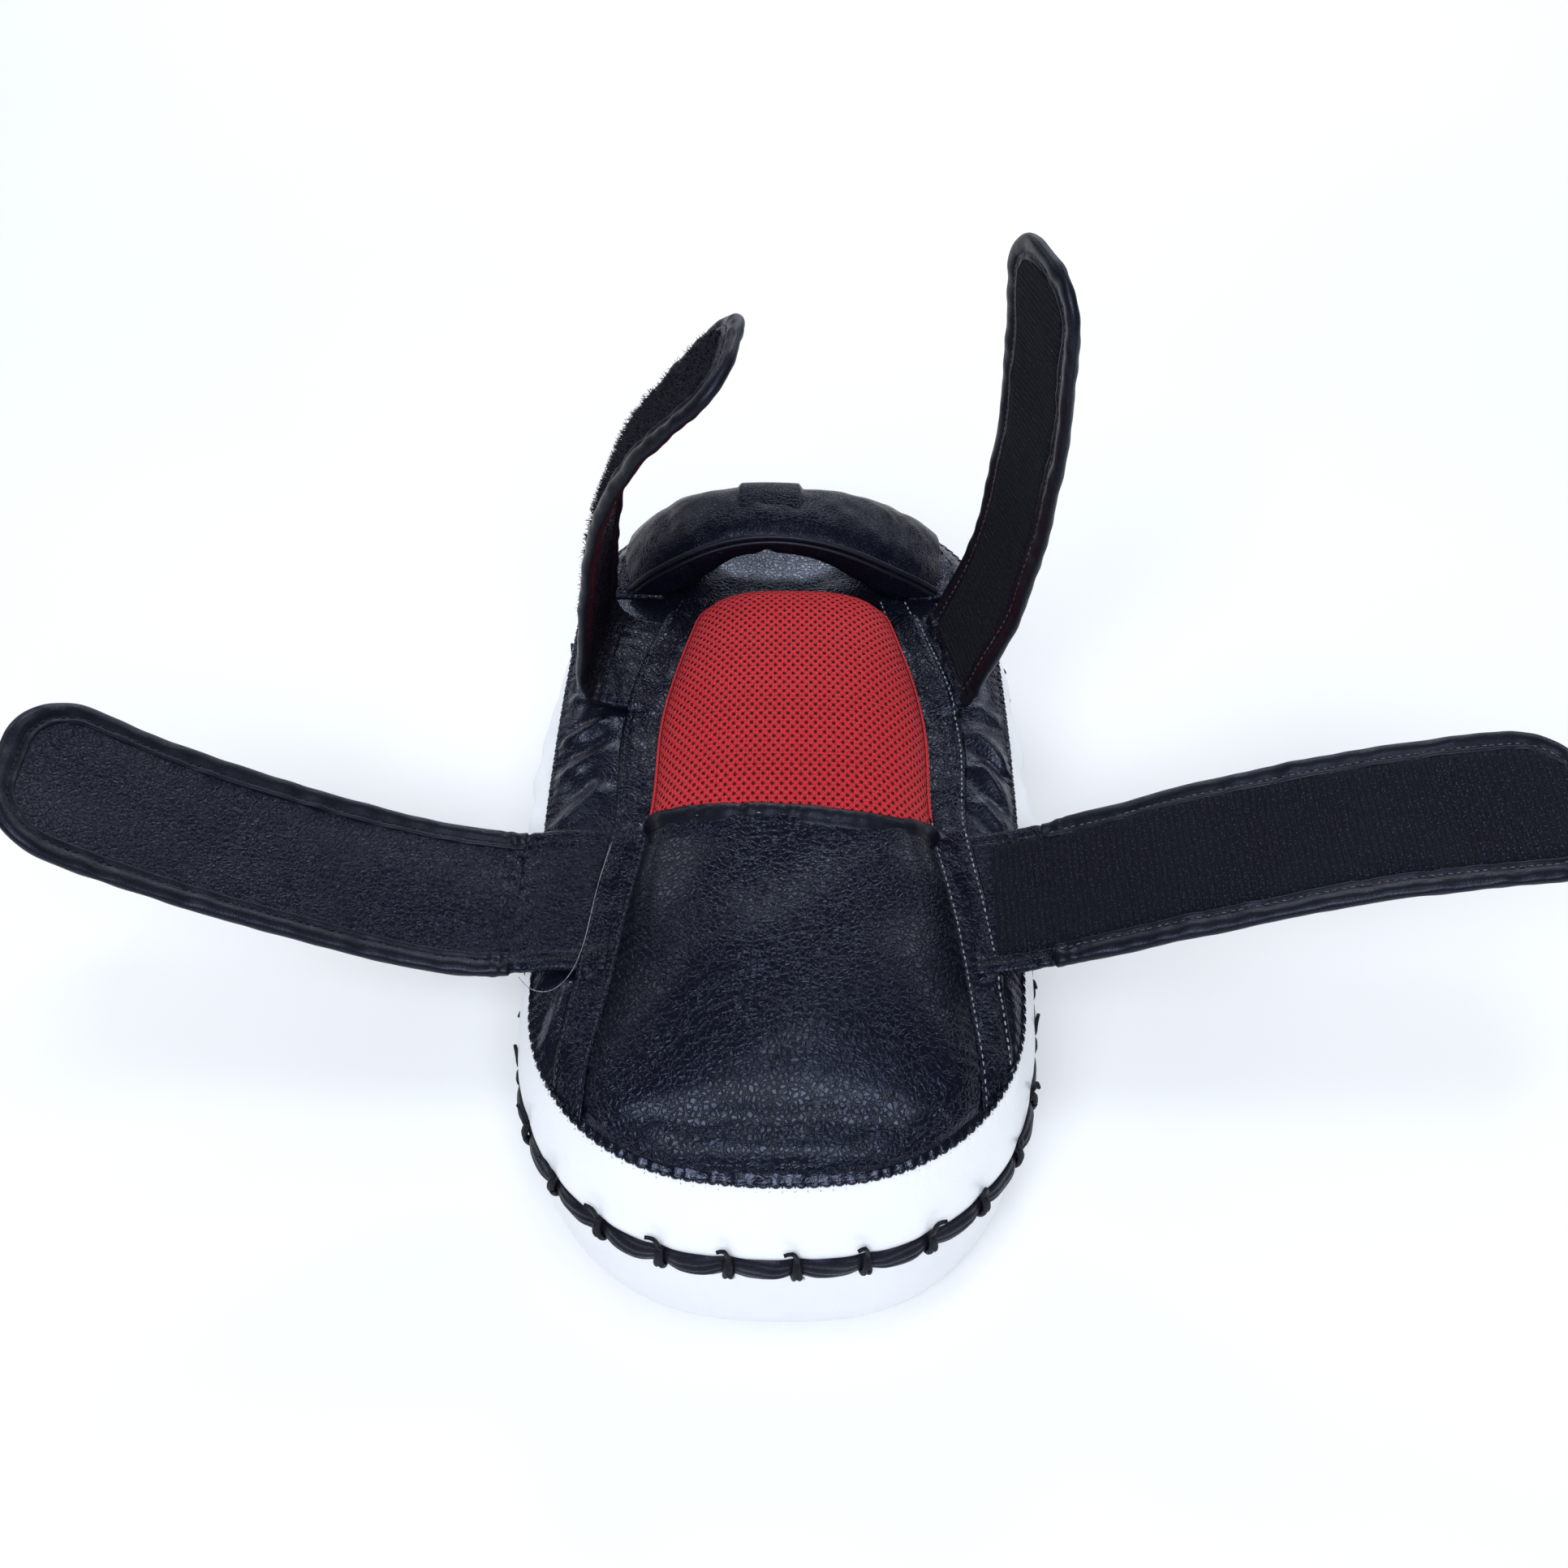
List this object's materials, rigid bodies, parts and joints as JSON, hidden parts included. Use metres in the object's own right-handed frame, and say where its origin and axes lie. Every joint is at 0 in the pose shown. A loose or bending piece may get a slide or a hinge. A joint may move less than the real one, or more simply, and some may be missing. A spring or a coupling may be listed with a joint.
{
  "type": "thai pad",
  "caption": "Oval foam kick pad with a laced two-part cover, a forearm cushion, four touch-fastener straps and a padded hand grip.",
  "frame": {"origin": "centre of the flat strike face, which the pad lies on", "axes": "+X across the pad, +Y along it towards the hand grip, +Z out of the back where the forearm lies"},
  "size_m": [0.5753, 0.3876, 0.2973],
  "materials": {
    "white_vinyl": "glossy smooth coated vinyl",
    "black_vinyl": "pebble-grained coated vinyl, semi-gloss",
    "lacing_vinyl": "gathered grained vinyl",
    "edge_binding": "folded vinyl binding",
    "red_mesh": "knitted spacer mesh",
    "hook_tape": "hook side of a touch fastener",
    "loop_tape": "loop side of a touch fastener",
    "lacing_cord": "waxed twine",
    "webbing": "woven webbing",
    "foam": "closed-cell foam"
  },
  "bodies": {
    "pad": {"back_foam": "foam", "back_panel": "black_vinyl", "core_foam": "foam", "cushion_hem": "black_vinyl", "forearm_cushion_cover": "black_vinyl", "forearm_cushion_foam": "foam", "grip_anchor_left": "black_vinyl", "grip_anchor_right": "black_vinyl", "lacing_strip": "lacing_vinyl", "lacing_ties": "lacing_cord", "lower_left_strap_tab": "black_vinyl", "lower_right_strap_tab": "black_vinyl", "side_strip_left": "black_vinyl", "side_strip_right": "black_vinyl", "strike_cover": "white_vinyl", "strike_foam": "foam", "upper_left_strap_tab": "black_vinyl", "upper_right_strap_tab": "black_vinyl", "upper_sidewall": "white_vinyl", "wrist_cushion_cover": "red_mesh", "wrist_cushion_foam": "foam"},
    "grip": {"grip_centre_wrap": "black_vinyl", "grip_cover": "black_vinyl", "grip_foam": "foam", "grip_piping": "edge_binding", "grip_webbing": "webbing"},
    "lower_left_root": {"lower_left_root_binding": "edge_binding", "lower_left_root_leather": "black_vinyl", "lower_left_root_tape": "loop_tape"},
    "lower_left_tip": {"lower_left_tip_binding": "edge_binding", "lower_left_tip_leather": "black_vinyl", "lower_left_tip_tape": "loop_tape"},
    "lower_right_root": {"lower_right_root_binding": "edge_binding", "lower_right_root_leather": "black_vinyl", "lower_right_root_tape": "hook_tape"},
    "lower_right_tip": {"lower_right_tip_binding": "edge_binding", "lower_right_tip_leather": "black_vinyl", "lower_right_tip_tape": "hook_tape"},
    "upper_left_root": {"upper_left_root_binding": "edge_binding", "upper_left_root_leather": "black_vinyl", "upper_left_root_tape": "loop_tape"},
    "upper_left_tip": {"upper_left_tip_binding": "edge_binding", "upper_left_tip_leather": "black_vinyl", "upper_left_tip_tape": "loop_tape"},
    "upper_right_root": {"upper_right_root_binding": "edge_binding", "upper_right_root_leather": "black_vinyl", "upper_right_root_tape": "hook_tape"},
    "upper_right_tip": {"upper_right_tip_binding": "edge_binding", "upper_right_tip_leather": "black_vinyl", "upper_right_tip_tape": "hook_tape"}
  },
  "joints": [
    {"name": "grip_tilt", "type": "hinge", "parent": "pad", "child": "grip", "pos_m": [0, 0.13, 0.0988], "axis": [1, 0, 0], "range_deg": [-15, 10]},
    {"name": "lower_left_fold", "type": "hinge", "parent": "pad", "child": "lower_left_root", "pos_m": [-0.10173, -0.06273, 0.0994], "axis": [0, 1, 0], "range_deg": [-34.5, 98.5]},
    {"name": "lower_left_bend", "type": "hinge", "parent": "lower_left_root", "child": "lower_left_tip", "pos_m": [-0.19953, -0.06273, 0.12837], "axis": [0, 1, 0], "range_deg": [-28.5, 48.5]},
    {"name": "lower_right_fold", "type": "hinge", "parent": "pad", "child": "lower_right_root", "pos_m": [0.10364, -0.06273, 0.10489], "axis": [0, -1, 0], "range_deg": [-39, 94]},
    {"name": "lower_right_bend", "type": "hinge", "parent": "lower_right_root", "child": "lower_right_tip", "pos_m": [0.20213, -0.06273, 0.1427], "axis": [0, -1, 0], "range_deg": [-11, 74]},
    {"name": "upper_left_fold", "type": "hinge", "parent": "pad", "child": "upper_left_root", "pos_m": [-0.07475, 0.067, 0.0994], "axis": [0.1045, 0.9945, 0], "range_deg": [-91.5, 10.5]},
    {"name": "upper_left_bend", "type": "hinge", "parent": "upper_left_root", "child": "upper_left_tip", "pos_m": [-0.06655, 0.06614, 0.20408], "axis": [0.1045, 0.9945, 0], "range_deg": [-49.5, 37.5]},
    {"name": "upper_right_fold", "type": "hinge", "parent": "pad", "child": "upper_right_root", "pos_m": [0.07025, 0.067, 0.0994], "axis": [0.1908, -0.9816, 0], "range_deg": [-73.5, 18.5]},
    {"name": "upper_right_bend", "type": "hinge", "parent": "upper_right_root", "child": "upper_right_tip", "pos_m": [0.09591, 0.07199, 0.2083], "axis": [0.1908, -0.9816, 0], "range_deg": [-28.5, 68.5]}
  ]
}
